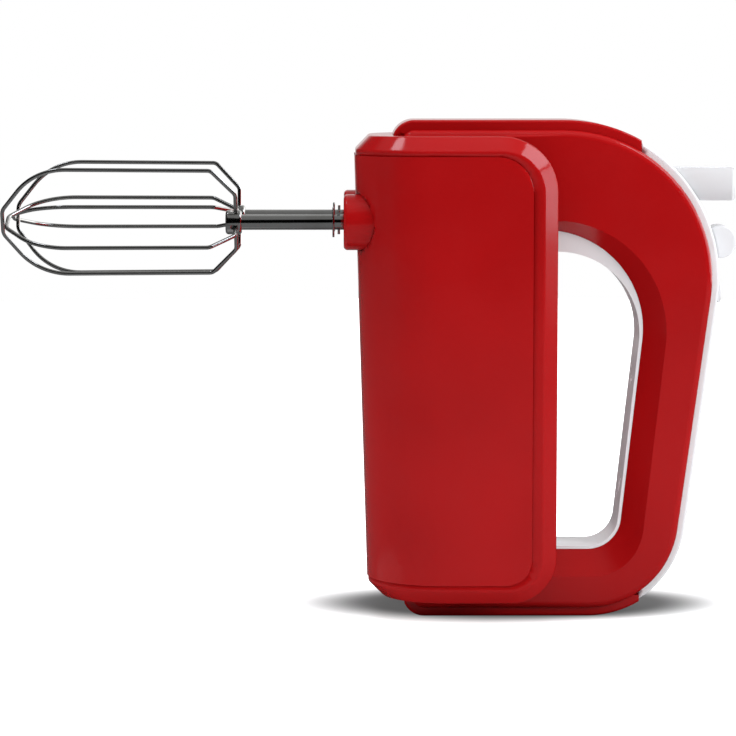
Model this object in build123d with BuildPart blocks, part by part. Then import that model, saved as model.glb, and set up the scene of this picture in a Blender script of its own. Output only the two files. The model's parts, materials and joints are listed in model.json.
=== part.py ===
from build123d import *
import os
from math import atan2, cos, degrees, pi, radians, sin, sqrt, tan

# Hand mixer standing on its heel, in millimetres.
# X runs from the beaters (-X) to the handle (+X), Y across the body, Z from the heel up to the nose.
# The origin is the middle of the flat face that it stands on.

os.makedirs("parts", exist_ok=True)

# ---------------------------------------------------------------- housing sizes
shell_wall = 2.5          # thickness of the moulded shells
clearance = 0.3           # gap between pieces that move past each other
snug = 0.1                # gap round a piece that is pushed into its seat
running = 0.05            # radial gap of a shaft in its bush

slab_half = 18.0          # half width of the centre slab, which is also the handle
slab_top = 194.0
slab_bottom = 3.5
slab_front_top = -48.5
slab_front_bottom = -44.0
handle_back = 83.2        # where the handle's back line would meet the slab's top
back_lean = 7.6           # degrees that the handle leans from the vertical
shoulder_radius = 59.0    # the big round from the nose into the handle
handle_heel_radius = 36.0
slab_corner = 5.0
slab_edge = 3.0           # rounding of the slab's side edges

hole_top = slab_top - 39.5
hole_bottom = 26.6
hole_back = 38.3          # at the hole's bottom
hole_lean = 6.3           # degrees that the hole's back leans
hole_shoulder_radius = 39.5
hole_heel_radius = 13.5
hole_corner = 1.5
bevel_depth = 6.0         # how deep the bevel round the hole goes from the handle's side
bevel_top = 4.0           # how far the bevel spreads above the hole,
bevel_back = 8.9          # behind it
bevel_bottom = 10.1       # and below it
bevel_shoulder = 5.0      # how much wider the bevel's outer rounds are at the shoulder
bevel_heel = 6.5          # and at the heel

pod_half = 42.0           # half width over the two side pods
pod_top = slab_top - 2.0
pod_bottom = 8.8
pod_back = 12.3
pod_front_top = -66.8
pod_front_bottom = -61.3
pod_underside_radius = pod_half - 12.0
pod_top_corner = 22.0
pod_bottom_corner = 18.0
pod_bevel = 5.6           # 45 degree bevel all round each pod's side
pod_round = 1.5           # rounding of the bevel's two edges

cover_margin_back = 9.9   # from the pod's back edge to the side cover
cover_margin_top = 7.7
cover_margin_bottom = 8.0
cover_from = 14.0         # half the bare stripe down the middle of the underside
cover_thickness = 1.6
cover_proud = 0.5
cover_top_corner = 14.0
cover_bottom_corner = 10.0

nose_band_proud = 4.0
nose_band_front = slab_top - 2.8   # z of the band's end at the front of the nose
nose_band_back = handle_back - 36.8     # where it meets the control strip
band_half = slab_half - slab_edge
heel_band_back = handle_back - 36.4
heel_band_front = -47.0
strip_proud = 3.2
strip_half = 12.0
band_round = 1.2

liner_wall = 1.3
liner_top_wall = 8.7      # the liner is thicker under the hole's top
liner_shoulder_radius = 32.5
vent_width = 2.4
vent_pitch = 6.0
vent_count = 7
vent_first = 30.0
vent_from = 3.0
vent_to = cover_from - 1.5

# ---------------------------------------------------------------- drive sizes
drive_x = -22.0           # the motor's axis
beater_spacing = 40.0
beater_z = slab_top - 36.0
socket_radius = 11.0
socket_front = -71.2
socket_lip = 1.6
worm_teeth = 24
worm_centre = beater_spacing / 2
worm_pitch_radius = 4.0
wheel_pitch_radius = worm_centre - worm_pitch_radius
thread_pitch = 2 * pi * wheel_pitch_radius / worm_teeth
thread_tip_radius = 5.0
thread_root_radius = 2.6
thread_tip_width = 1.0
thread_root_width = 1.9
thread_turns = 5
wheel_tip_radius = 16.9
wheel_slot_radius = 14.6
wheel_slot_tip_width = 2.5
wheel_slot_root_width = 1.5
wheel_width = 10.0
lead_angle = degrees(atan2(thread_pitch, 2 * pi * worm_pitch_radius))

shaft_radius = 2.5
shaft_bottom = beater_z - 123.4
shaft_top = beater_z + 22.6
bush_radius = 6.5
bush_length = 6.0

core_radius = 15.0
core_bottom = beater_z - 80.4
core_height = 26.0
core_slots = 12
air_gap = 0.6
end_turn_height = 6.0
end_turn_radius = 13.5
stator_bottom = beater_z - 82.4
stator_height = 30.0
stator_x = 58.0
stator_y = 50.0
coil_half = 22.0
coil_leg = 5.0
coil_end = 5.0
screw_off_x = 25.7
screw_off_y = 21.2
screw_radius = 1.5
commutator_bottom = beater_z - 104.4
commutator_height = 13.0
commutator_radius = 8.0
commutator_bars = 12
fan_bottom = beater_z - 44.4
fan_height = 12.0
fan_radius = 24.0
fan_blades = 9

frame_wall = 4.0
frame_half = 33.5
frame_bottom = beater_z - 28.4
frame_top = beater_z + 23.6
frame_front = drive_x - 20.0
frame_back = drive_x + 18.0
post_radius = 4.0

spindle_radius = 5.0
spindle_front = -69.0
spindle_bush_wall = 2.0
spindle_sleeve = 6.0
wheel_hub_radius = 8.0
frame_top_half = 20.0
beater_shaft_radius = 3.0
beater_shaft_inner_end = drive_x - 2.0
ejector_pin_radius = 2.2
eject_travel = 8.0
yoke_thickness = 2.5
yoke_half = 24.0

# ---------------------------------------------------------------- beater sizes
wire_radius = 0.8
cage_radius = 22.8
cage_shoulder_radius = 22.3
cage_tip = -205.3         # the outer loop's end, on its centre line
cage_tip_step = 1.9       # the inner loop stops this far short of it
hub_front = -117.6
hub_back = -111.2
hub_radius = 4.8
flange_x = -75.6
flange_radius = 5.9
flange_thickness = 0.8
near_phase = 23.0
far_phase = 77.0

# ---------------------------------------------------------------- control sizes
# The speed knob runs round the centre of the handle's shoulder.
arc_centre_x = handle_back - shoulder_radius * (1 + sin(radians(back_lean))) / cos(radians(back_lean))
arc_centre_z = slab_top - shoulder_radius
eject_z = slab_top - 21.5
eject_height = 13.0
eject_half = 9.0
eject_back = handle_back + 1.2
button_inner_x = eject_back - 36.4
knob_angle = 12.9         # degrees above the centre at rest
knob_travel = 8.0         # degrees, down the handle
knob_radius = 6.5
knob_half = 7.0
turbo_z = arc_centre_z - 6.0
turbo_height = 8.0
turbo_half = 5.0
turbo_travel = 1.2
turbo_reach = 1.7         # proud of the strip
inlet_z = 44.0
inlet_bore = 3.2
inlet_radius = 5.0
inlet_length = 10.0


def back_at(z, inset=0.0):
    """Where the handle's straight back is at height z, moved in by inset."""
    lean = radians(back_lean)
    return handle_back - (slab_top - z) * tan(lean) - inset / cos(lean)


def hole_back_at(z, grow=0.0):
    """Where the finger hole's back is at height z, moved out by grow."""
    lean = radians(hole_lean)
    return hole_back + (z - hole_bottom) * tan(lean) + grow / cos(lean)


def draw_slab(inset=0.0, mode=Mode.ADD):
    """The side outline of the centre slab and handle, in the sketch that is open."""
    top = slab_top - inset
    bottom = slab_bottom + inset
    with BuildLine() as edge:
        FilletPolyline(
            (slab_front_top + inset, top),
            (back_at(top, inset), top),
            (back_at(bottom, inset), bottom),
            (slab_front_bottom + inset, bottom),
            radius=[
                max(slab_corner - inset, 0.5),
                shoulder_radius - inset,
                handle_heel_radius - inset,
                max(slab_corner - inset, 0.5),
            ],
            close=True,
        )
    make_face(edge.edges(), mode=mode)


def draw_hole(grow=0.0, spread=0.0, drop=0.0, shoulder=hole_shoulder_radius, mode=Mode.ADD):
    """The finger hole's outline, grown by grow, then spread out to that share of its bevel.

    drop lowers its top, and shoulder is the radius at the top of its back.
    """
    top = hole_top - drop + grow + spread * bevel_top
    bottom = hole_bottom - grow - spread * bevel_bottom
    back = spread * bevel_back
    with BuildLine() as edge:
        FilletPolyline(
            (pod_back - 30.0, top),
            (hole_back_at(top, grow) + back, top),
            (hole_back_at(bottom, grow) + back, bottom),
            (pod_back - 30.0, bottom),
            radius=[
                hole_corner,
                shoulder + grow + spread * bevel_shoulder,
                hole_heel_radius + grow + spread * bevel_heel,
                hole_corner,
            ],
            close=True,
        )
    with BuildSketch() as outline:
        make_face(edge.edges())
        with Locations((pod_back - grow, bottom)):
            Rectangle(100, top - bottom, align=(Align.MIN, Align.MIN), mode=Mode.INTERSECT)
    add(outline.sketch, mode=mode)


def draw_cover(grow=0.0):
    """The outline of a side cover, which runs round the underside, past the pod's front."""
    front = pod_front_top - 20.0
    top = pod_top - cover_margin_top + grow
    back = pod_back - cover_margin_back + grow
    bottom = pod_bottom + cover_margin_bottom - grow
    with BuildLine() as edge:
        FilletPolyline(
            (front, top),
            (back, top),
            (back, bottom),
            (front, bottom),
            radius=[0, cover_top_corner + grow, cover_bottom_corner + grow, 0],
            close=True,
        )
    make_face(edge.edges())


def slab_form(inset=0.0):
    """The centre slab with the handle, its finger hole bevelled, all moved in by inset."""
    share = 1 - inset / (2 * bevel_depth)
    depth = bevel_depth - inset / 2
    overrun = 1.0         # the bevel's cut starts this far outside the side face
    with BuildPart() as form:
        with BuildSketch(Plane.XZ):
            draw_slab(inset)
        extrude(amount=slab_half - inset, both=True)
        sides = form.faces().filter_by(Axis.Y)
        fillet(sides.edges(), radius=slab_edge - inset)
        with BuildSketch(Plane.XZ):
            draw_hole(inset)
        extrude(amount=pod_half, both=True, mode=Mode.SUBTRACT)
        for sign in (-1, 1):
            with BuildSketch(Plane.XZ.offset(sign * (slab_half - inset - depth))):
                draw_hole(inset)
            with BuildSketch(Plane.XZ.offset(sign * (slab_half - inset + overrun))):
                draw_hole(inset, share * (1 + overrun / depth))
            loft(ruled=True, mode=Mode.SUBTRACT)
    return form.part


def pod_form(inset=0.0):
    """Both pods in one, moved in by inset: a prism with a round underside, bevelled all round."""
    half = pod_half - inset
    slope = (pod_front_top - pod_front_bottom) / (pod_top - pod_bottom)
    spare = 5.0           # the prism runs this far past the outline it is cut to
    low = pod_bottom - spare
    rise = pod_top + spare - low
    lean = Vector(slope * rise, 0, rise)
    with BuildPart() as form:
        with BuildSketch(Plane.XY.offset(low)) as section:
            with Locations((pod_front_bottom - slope * spare + inset, 0)):
                Rectangle(2 * pod_half, 2 * half, align=(Align.MIN, Align.CENTER))
            fillet(section.vertices().group_by(Axis.X)[0], radius=pod_underside_radius - inset)
        extrude(amount=lean.length, dir=lean.normalized())
        with BuildSketch(Plane.XZ):
            with BuildLine() as edge:
                FilletPolyline(
                    (pod_front_top - spare, pod_top - inset),
                    (pod_back - inset, pod_top - inset),
                    (pod_back - inset, pod_bottom + inset),
                    (pod_front_top - spare, pod_bottom + inset),
                    radius=[0, pod_top_corner - inset, pod_bottom_corner - inset, 0],
                    close=True,
                )
            make_face(edge.edges())
        extrude(amount=half, both=True, mode=Mode.INTERSECT)
        chamfer(sharp_edges(form), length=pod_bevel - inset * (2 - sqrt(2)))
    return form.part


def sharp_edges(form):
    """The edges of an open part at which its surface turns."""
    sharp = ShapeList()
    for edge in form.edges():
        middle = edge.position_at(0.5)
        pair = [face for face in form.faces() if any(own.is_same(edge) for own in face.edges())]
        if len(pair) == 2 and pair[0].normal_at(middle).get_angle(pair[1].normal_at(middle)) > 12:
            sharp.append(edge)
    return sharp


def side_of(sign):
    """Sign is -1 for the left piece, on the -Y side, and 1 for the right one."""
    return "left" if sign < 0 else "right"


def beater_axis(sign, x):
    """A plane across a beater's axis at x, its normal along +X and its own X up."""
    return Plane(origin=(x, sign * beater_spacing / 2, beater_z), x_dir=(0, 0, 1), z_dir=(1, 0, 0))


def at_drive(z):
    """A sketch plane across the motor at height z, its own origin on the shaft's axis."""
    return Plane(origin=(drive_x, 0, z))


# ---------------------------------------------------------------- housing
screw_places = (
    (slab_front_top - 1.5, slab_top - 16.0),
    (slab_front_bottom - 3.0, 22.5),
    (-9.0, 24.5),
    (handle_back - 55.2, slab_top - 9.5),
    (handle_back - 20.7, 96.0),
)
screw_head_y = 10.0
screw_head_radius = 3.0
screw_head_height = 2.0
housing_screw_radius = 1.5
screw_tip_y = -8.0
screw_boss_radius = 4.6
rear_bracket_z = shaft_bottom + 11.0
rear_bracket_thickness = 3.0
rear_bracket_half = 24.0
frame_posts = (
    (frame_front + frame_wall / 2, beater_z - 13.4),
    (frame_back - frame_wall / 2, beater_z - 13.4),
    (drive_x, frame_bottom + frame_wall / 2),
)
switch_half = 8.0
turbo_switch_x = handle_back - 24.2
turbo_switch_z = turbo_z - 1.5
switch_posts = (
    (arc_centre_x + 47.0, arc_centre_z + 3.0),
    (arc_centre_x + 44.0, arc_centre_z + 14.0),
    (turbo_switch_x, turbo_switch_z),
)
rear_posts = ((drive_x - 18.0, rear_bracket_z + 1.5), (drive_x + 18.0, rear_bracket_z + 1.5))

bare_pod = pod_form()
with BuildPart() as rounded_pod:
    add(bare_pod)
    fillet(sharp_edges(rounded_pod), radius=pod_round)
outer_pod = rounded_pod.part
outer_slab = slab_form()
inner_pod = pod_form(shell_wall)
inner_slab = slab_form(shell_wall)
cover_outside = pod_form(-cover_proud)
cover_inside = pod_form(cover_thickness - cover_proud)
cover_seat = pod_form(cover_thickness - cover_proud + snug)

with BuildPart() as cavity_form:
    add(inner_pod)
    add(inner_slab)
cavity = cavity_form.part

with BuildPart() as housing_form:
    add(outer_pod)
    add(outer_slab)
    add(cavity, mode=Mode.SUBTRACT)
housing = housing_form.part

with BuildPart() as socket_form:
    for sign in (-1, 1):
        with BuildSketch(beater_axis(sign, socket_front)):
            Circle(socket_radius)
        extrude(amount=30.0)
    fillet(socket_form.faces().filter_by(Axis.X).sort_by(Axis.X)[:2].edges(), radius=socket_lip)
    add(inner_pod, mode=Mode.SUBTRACT)
sockets = socket_form.part


def cover_skin(inside, grow, sign):
    """What lies outside a form of the pod, within the cover's outline, on one side."""
    with BuildPart() as skin:
        add(cover_outside)
        add(inside, mode=Mode.SUBTRACT)
        with BuildSketch(Plane.XZ.offset(-sign * (cover_from - grow))):
            draw_cover(grow)
        extrude(amount=-sign * pod_half, mode=Mode.INTERSECT)
    return skin.part


def side_cover(sign):
    """A side cover, with a notch where the beater's socket comes through."""
    skin = cover_skin(cover_inside, 0.0, sign)
    with BuildPart() as cover:
        add(skin)
        with BuildSketch(beater_axis(sign, socket_front)):
            Circle(socket_radius + clearance)
        extrude(amount=30.0, mode=Mode.SUBTRACT)
    return cover.part


def shell_fixings(sign):
    """The screw bosses and posts that stand on the inside of a shell's side wall."""
    with BuildPart() as fixings:
        with BuildSketch(Plane.XZ):
            with Locations(*screw_places):
                Circle(screw_boss_radius)
        extrude(amount=-sign * pod_half)
        with BuildSketch(Plane.XZ.offset(-sign * frame_half)):
            with Locations(*frame_posts):
                Circle(post_radius)
        extrude(amount=-sign * (pod_half - frame_half))
        with BuildSketch(Plane.XZ.offset(-sign * rear_bracket_half)):
            with Locations(*rear_posts):
                Circle(post_radius)
        extrude(amount=-sign * (pod_half - rear_bracket_half))
        with BuildSketch(Plane.XZ.offset(-sign * switch_half)):
            with Locations(*switch_posts):
                Circle(post_radius - 1.0)
        extrude(amount=-sign * (pod_half - switch_half))
        add(cavity, mode=Mode.INTERSECT)
    return fixings.part


def control_cuts(gap):
    """What the moving controls and the inlet need cut out of the shells and the strip."""
    with BuildPart() as cuts:
        with BuildSketch(Plane.YZ.offset(arc_centre_x + 25.0)):
            with Locations((0, eject_z)):
                Rectangle(2 * (eject_half + gap), eject_height + 2 * gap)
        extrude(amount=60.0)
        with BuildSketch(Plane.YZ.offset(arc_centre_x + 45.0)):
            with Locations((0, turbo_z)):
                Rectangle(2 * (turbo_half + gap), turbo_height + 2 * gap)
        extrude(amount=60.0)
        with BuildSketch(Plane.XZ):
            with BuildLine():
                high = radians(knob_angle + knob_neck_angle) + gap / shoulder_radius
                low = radians(knob_angle - knob_travel - knob_neck_angle) - gap / shoulder_radius
                corners = [
                    (arc_centre_x + reach * cos(turn), arc_centre_z + reach * sin(turn))
                    for turn, reach in ((high, 40.0), (high, 80.0), (low, 80.0), (low, 40.0))
                ]
                Polyline(*corners, close=True)
            make_face()
        extrude(amount=knob_neck_half + gap, both=True)
        with BuildSketch(Plane.YZ.offset(inlet_inner_x + 1.0)):
            with Locations((0, inlet_z)):
                Circle(inlet_radius + snug)
        extrude(amount=20.0)
    return cuts.part


knob_neck_angle = 2.2
knob_neck_half = 2.0
inlet_inner_x = back_at(inlet_z, shell_wall) - 3.5
control_openings = control_cuts(clearance)


def shell(sign):
    """One shell: its posts and bosses, the cover's seat, bores, vents and slots."""
    fixings = shell_fixings(sign)
    seat = cover_skin(cover_seat, snug, sign)
    with BuildPart() as half:
        add(housing)
        add(fixings)
        add(seat, mode=Mode.SUBTRACT)
        add(sockets)
        with BuildSketch(beater_axis(sign, socket_front)):
            Circle(spindle_radius + clearance)
        extrude(amount=60.0, mode=Mode.SUBTRACT)
        add(control_openings, mode=Mode.SUBTRACT)
        with BuildSketch(Plane.XZ.offset(-sign * vent_from)):
            for number in range(vent_count):
                with Locations((pod_front_bottom, vent_first + number * vent_pitch)):
                    SlotOverall(26.0, vent_width)
        extrude(amount=-sign * (vent_to - vent_from), mode=Mode.SUBTRACT)
        if sign > 0:
            with BuildSketch(Plane.XZ.offset(-screw_head_y)):
                with Locations(*screw_places):
                    Circle(screw_head_radius + clearance)
            extrude(amount=-pod_half, mode=Mode.SUBTRACT)
            with BuildSketch(Plane.XZ):
                with Locations(*screw_places):
                    Circle(housing_screw_radius + snug)
            extrude(amount=-screw_head_y, mode=Mode.SUBTRACT)
        else:
            with BuildSketch(Plane.XZ):
                with Locations(*screw_places):
                    Circle(housing_screw_radius + snug)
            extrude(amount=-screw_tip_y + 1.0, mode=Mode.SUBTRACT)
        split(bisect_by=Plane.XZ, keep=Keep.TOP if sign < 0 else Keep.BOTTOM)
    return half.part


def save(piece, name):
    """Labels a finished piece and writes it as its own node."""
    piece.label = name
    export_step(piece, "parts/" + name + ".step")


for sign in (-1, 1):
    save(shell(sign), side_of(sign) + "_shell")
    save(side_cover(sign), side_of(sign) + "_side_cover")

# The bands and the strip lie on the slab's outline and meet end to end.
with BuildPart() as core_form:
    with BuildSketch(Plane.XZ):
        draw_slab()
    extrude(amount=pod_half, both=True)
slab_core = core_form.part


def outline_band(proud, half, reach):
    """A band that stands proud of the slab's outline within a reach, its long edges rounded."""
    with BuildPart() as band:
        with BuildSketch(Plane.XZ):
            draw_slab(-proud)
        extrude(amount=half, both=True)
        fillet(band.faces().filter_by(Axis.Y).edges(), radius=band_round)
        extrude(reach, amount=pod_half, both=True, mode=Mode.INTERSECT)
        add(slab_core, mode=Mode.SUBTRACT)
        add(outer_pod, mode=Mode.SUBTRACT)
    return band.part


whole = 2 * slab_top
with BuildSketch(Plane.XZ) as nose_reach:
    with Locations((nose_band_back, nose_band_front)):
        Rectangle(whole, whole, align=(Align.MAX, Align.MIN))
    with Locations((nose_band_back, arc_centre_z)):
        Rectangle(nose_band_back, whole, align=(Align.MAX, Align.MIN))
with BuildSketch(Plane.XZ) as heel_reach:
    with Locations((heel_band_back, slab_bottom + 5.0)):
        Rectangle(heel_band_back - heel_band_front, whole, align=(Align.MAX, Align.MAX))
with BuildSketch(Plane.XZ) as strip_reach:
    with Locations((heel_band_back + snug, 0)):
        Rectangle(whole, 2 * whole, align=(Align.MIN, Align.CENTER))
save(outline_band(nose_band_proud, band_half, nose_reach.sketch), "nose_band")
save(outline_band(slab_bottom, band_half, heel_reach.sketch), "heel_band")
strip_form = outline_band(strip_proud, strip_half, strip_reach.sketch)
with BuildPart() as control_strip:
    add(strip_form)
    add(control_openings, mode=Mode.SUBTRACT)
save(control_strip.part, "control_strip")

with BuildPart() as grip_liner:
    with BuildSketch(Plane.XZ):
        draw_hole(-snug)
        drop = liner_top_wall - liner_wall
        draw_hole(-liner_wall, 0, drop, liner_shoulder_radius + liner_wall, Mode.SUBTRACT)
    extrude(amount=slab_half - bevel_depth, both=True)
save(grip_liner.part, "grip_liner")

with BuildPart() as cord_grommet:
    with BuildSketch(Plane.YZ.offset(inlet_inner_x)):
        with Locations((0, inlet_z)):
            Circle(inlet_radius + 1.5)
    extrude(amount=2.5)
    with BuildSketch(Plane.YZ.offset(inlet_inner_x)):
        with Locations((0, inlet_z)):
            Circle(inlet_radius)
    extrude(amount=inlet_length)
    with BuildSketch(Plane.YZ.offset(inlet_inner_x)):
        with Locations((0, inlet_z)):
            Circle(inlet_bore)
    extrude(amount=inlet_length, mode=Mode.SUBTRACT)
save(cord_grommet.part, "cord_grommet")

with BuildPart() as housing_screws:
    with BuildSketch(Plane.XZ.offset(-screw_head_y)):
        with Locations(*screw_places):
            Circle(screw_head_radius)
    extrude(amount=-screw_head_height)
    with BuildSketch(Plane.XZ.offset(-screw_head_y)):
        with Locations(*screw_places):
            Circle(housing_screw_radius)
    extrude(amount=screw_head_y - screw_tip_y)
save(housing_screws.part, "housing_screws")

# ---------------------------------------------------------------- gearbox frame and bushes
with BuildPart() as gearbox_frame:
    with BuildSketch(Plane.XY.offset(frame_bottom)):
        with Locations(((frame_front + frame_back) / 2, 0)):
            Rectangle(frame_back - frame_front, 2 * frame_half)
        with Locations((drive_x, 0)):
            RectangleRounded(stator_x, stator_y, 4.0)
    extrude(amount=frame_wall)
    with BuildSketch(Plane.XY.offset(frame_top)):
        with Locations(((frame_front + frame_back) / 2, 0)):
            Rectangle(frame_back - frame_front, 2 * frame_top_half)
    extrude(amount=-frame_wall)
    for wall_x in (frame_front, frame_back - frame_wall):
        with BuildSketch(Plane.YZ.offset(wall_x)):
            with BuildLine():
                FilletPolyline(
                    (-frame_half, frame_bottom),
                    (frame_half, frame_bottom),
                    (frame_half, beater_z + spindle_radius + 7.0),
                    (frame_top_half, frame_top),
                    (-frame_top_half, frame_top),
                    (-frame_half, beater_z + spindle_radius + 7.0),
                    radius=[3.0, 3.0, 6.0, 3.0, 3.0, 6.0],
                    close=True,
                )
            make_face()
        extrude(amount=frame_wall)
    # Sleeves carry the spindle bushes through both walls.
    for sign in (-1, 1):
        with BuildSketch(beater_axis(sign, frame_front - spindle_sleeve)):
            Circle(spindle_radius + spindle_bush_wall + 2.0)
        extrude(amount=spindle_sleeve)
        with BuildSketch(beater_axis(sign, frame_front - spindle_sleeve)):
            Circle(spindle_radius + spindle_bush_wall + running)
        extrude(amount=spindle_sleeve + frame_back - frame_front, mode=Mode.SUBTRACT)
    with BuildSketch(at_drive(frame_bottom)):
        Circle(bush_radius)
    extrude(amount=frame_wall, mode=Mode.SUBTRACT)
    with BuildSketch(at_drive(frame_top - frame_wall)):
        Circle(bush_radius)
    extrude(amount=frame_wall, mode=Mode.SUBTRACT)
    # Four posts reach down to the stator.
    with BuildSketch(Plane.XY.offset(stator_bottom + stator_height)):
        with Locations((drive_x, 0)):
            with GridLocations(2 * screw_off_x, 2 * screw_off_y, 2, 2):
                Circle(3.0)
    extrude(amount=frame_bottom - stator_bottom - stator_height)
    with BuildSketch(Plane.XY.offset(stator_bottom)):
        with Locations((drive_x, 0)):
            with GridLocations(2 * screw_off_x, 2 * screw_off_y, 2, 2):
                Circle(screw_radius)
    extrude(amount=stator_height + 12.0, mode=Mode.SUBTRACT)
save(gearbox_frame.part, "gearbox_frame")


def ring(plane, outer, inner, length):
    """A plain bush or collar, standing on a plane."""
    with BuildPart() as bush:
        with BuildSketch(plane):
            Circle(outer)
            Circle(inner, mode=Mode.SUBTRACT)
        extrude(amount=length)
    return bush.part


bush_bore = shaft_radius + running
bush_outer = bush_radius - running
save(ring(at_drive(frame_bottom - 1.0), bush_outer, bush_bore, bush_length), "front_motor_bush")
save(ring(at_drive(frame_top - bush_length + 1.0), bush_outer, bush_bore, bush_length), "worm_end_bush")
save(ring(at_drive(rear_bracket_z - 8.0), bush_outer, bush_bore, bush_length), "rear_motor_bush")

spindle_bush_outer = spindle_radius + spindle_bush_wall
spindle_bush_bore = spindle_radius + running
front_bush_length = spindle_sleeve + frame_wall
bush_rings = []
for sign in (-1, 1):
    front = beater_axis(sign, frame_front - spindle_sleeve)
    bush_rings.append(ring(front, spindle_bush_outer, spindle_bush_bore, front_bush_length))
    back = beater_axis(sign, frame_back - frame_wall)
    bush_rings.append(ring(back, spindle_bush_outer, spindle_bush_bore, frame_wall))
with BuildPart() as spindle_bushes:
    add(bush_rings)
save(spindle_bushes.part, "spindle_bushes")

# ---------------------------------------------------------------- motor
stator_top = stator_bottom + stator_height

with BuildPart() as stator_core:
    with BuildSketch(at_drive(stator_bottom)):
        RectangleRounded(stator_x, stator_y, 4.0)
        Rectangle(2 * (coil_half + 0.4), 2 * 13.0, mode=Mode.SUBTRACT)
        with Locations((0, 19.0), (0, -19.0)):
            Rectangle(24.0, 12.0)
        Circle(core_radius + air_gap, mode=Mode.SUBTRACT)
        with GridLocations(2 * screw_off_x, 2 * screw_off_y, 2, 2):
            Circle(screw_radius + snug, mode=Mode.SUBTRACT)
    extrude(amount=stator_height)
save(stator_core.part, "stator_core")

with BuildPart() as field_coils:
    for side in (-1, 1):
        for foot in (stator_bottom - coil_end - snug, stator_top + snug):
            with BuildSketch(at_drive(foot)) as end_turn:
                with Locations((0, side * (coil_half + 1.0) / 2)):
                    Rectangle(2 * coil_half, coil_half - 1.0)
                Circle(core_radius + air_gap, mode=Mode.SUBTRACT)
            extrude(amount=coil_end)
        with BuildSketch(at_drive(stator_bottom - coil_end)):
            with Locations((coil_half - coil_leg / 2, side * 6.5), (coil_leg / 2 - coil_half, side * 6.5)):
                Rectangle(coil_leg, 11.0)
        extrude(amount=stator_height + 2 * coil_end)
save(field_coils.part, "field_coils")

with BuildPart() as rear_bracket:
    with BuildSketch(at_drive(rear_bracket_z)):
        RectangleRounded(stator_x, 2 * rear_bracket_half, 4.0)
    extrude(amount=rear_bracket_thickness)
    with BuildSketch(at_drive(rear_bracket_z - 8.0)):
        Circle(bush_radius + 2.5)
    extrude(amount=8.0)
    with BuildSketch(at_drive(rear_bracket_z)):
        with GridLocations(2 * screw_off_x, 2 * screw_off_y, 2, 2):
            Circle(3.0)
    extrude(amount=stator_bottom - rear_bracket_z)
    with BuildSketch(at_drive(rear_bracket_z)):
        with GridLocations(2 * screw_off_x, 2 * screw_off_y, 2, 2):
            Circle(screw_radius + snug)
    extrude(amount=stator_bottom - rear_bracket_z, mode=Mode.SUBTRACT)
    with BuildSketch(at_drive(rear_bracket_z - 8.0)):
        Circle(bush_radius)
    extrude(amount=bush_length + 1.0, mode=Mode.SUBTRACT)
    with BuildSketch(at_drive(rear_bracket_z - 8.0)):
        Circle(shaft_radius + 1.0)
    extrude(amount=20.0, mode=Mode.SUBTRACT)
save(rear_bracket.part, "rear_bracket")

with BuildPart() as stator_screws:
    with BuildSketch(at_drive(rear_bracket_z)):
        with GridLocations(2 * screw_off_x, 2 * screw_off_y, 2, 2):
            Circle(2.6)
    extrude(amount=-2.0)
    with BuildSketch(at_drive(rear_bracket_z)):
        with GridLocations(2 * screw_off_x, 2 * screw_off_y, 2, 2):
            Circle(screw_radius)
    extrude(amount=stator_top + 11.0 - rear_bracket_z)
save(stator_screws.part, "stator_screws")

commutator_middle = commutator_bottom + commutator_height / 2
holder_near = commutator_radius + 1.2
holder_far = 24.0
brush_side = 5.0
brush_length = 10.0
holder_floor = rear_bracket_z + rear_bracket_thickness
holders = []
brushes = []
springs = []
for side in (-1, 1):
    across = Plane(origin=(drive_x + side * holder_near, 0, commutator_middle), x_dir=(0, side, 0), z_dir=(side, 0, 0))
    with BuildPart() as holder:
        with BuildSketch(across):
            with Locations((0, -1.0)):
                Rectangle(brush_side + 3.0, 2 * (commutator_middle - holder_floor - 1.0))
            Rectangle(brush_side + 2 * snug, brush_side + 2 * snug, mode=Mode.SUBTRACT)
        extrude(amount=holder_far - holder_near)
    holders.append(holder.part)
    with BuildPart() as brush:
        with BuildSketch(at_drive(commutator_middle - brush_side / 2)):
            with Locations((side * (commutator_radius + brush_length / 2), 0)):
                Rectangle(brush_length, brush_side)
            Circle(commutator_radius + running, mode=Mode.SUBTRACT)
        extrude(amount=brush_side)
    brushes.append(brush.part)
    with BuildPart() as spring:
        back = drive_x + side * (commutator_radius + brush_length)
        with BuildLine() as coil:
            Helix(1.2, 6.0 - 1.2, 1.6, center=(back + side * 0.6, 0, commutator_middle), direction=(side, 0, 0))
        with BuildSketch(Plane(origin=coil.line @ 0, z_dir=coil.line % 0)):
            Circle(0.3)
        sweep(path=coil.line, is_frenet=True)
    springs.append(spring.part)
with BuildPart() as brush_holders:
    add(holders)
save(brush_holders.part, "brush_holders")
with BuildPart() as carbon_brushes:
    add(brushes)
save(carbon_brushes.part, "carbon_brushes")
with BuildPart() as brush_springs:
    add(springs)
save(brush_springs.part, "brush_springs")

with BuildPart() as motor_shaft:
    with BuildSketch(at_drive(shaft_bottom)):
        Circle(shaft_radius)
    extrude(amount=shaft_top - shaft_bottom)
    thread_start = beater_z - thread_pitch * (2 + 1 / 4)
    thread_length = thread_turns * thread_pitch
    with BuildSketch(at_drive(thread_start - 1.0)):
        Circle(thread_root_radius)
    extrude(amount=thread_length + 2.0)
    depth = thread_tip_radius - thread_root_radius
    with BuildLine() as helix:
        Helix(thread_pitch, thread_length, thread_root_radius, center=(drive_x, 0, thread_start))
    with BuildSketch(Plane(origin=helix.line @ 0, x_dir=(1, 0, 0), z_dir=helix.line % 0)):
        with BuildLine():
            Polyline(
                (-0.4, -thread_root_width / 2),
                (depth, -thread_tip_width / 2),
                (depth, thread_tip_width / 2),
                (-0.4, thread_root_width / 2),
                close=True,
            )
        make_face()
    sweep(path=helix.line, is_frenet=True)
save(motor_shaft.part, "motor_shaft")

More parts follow.
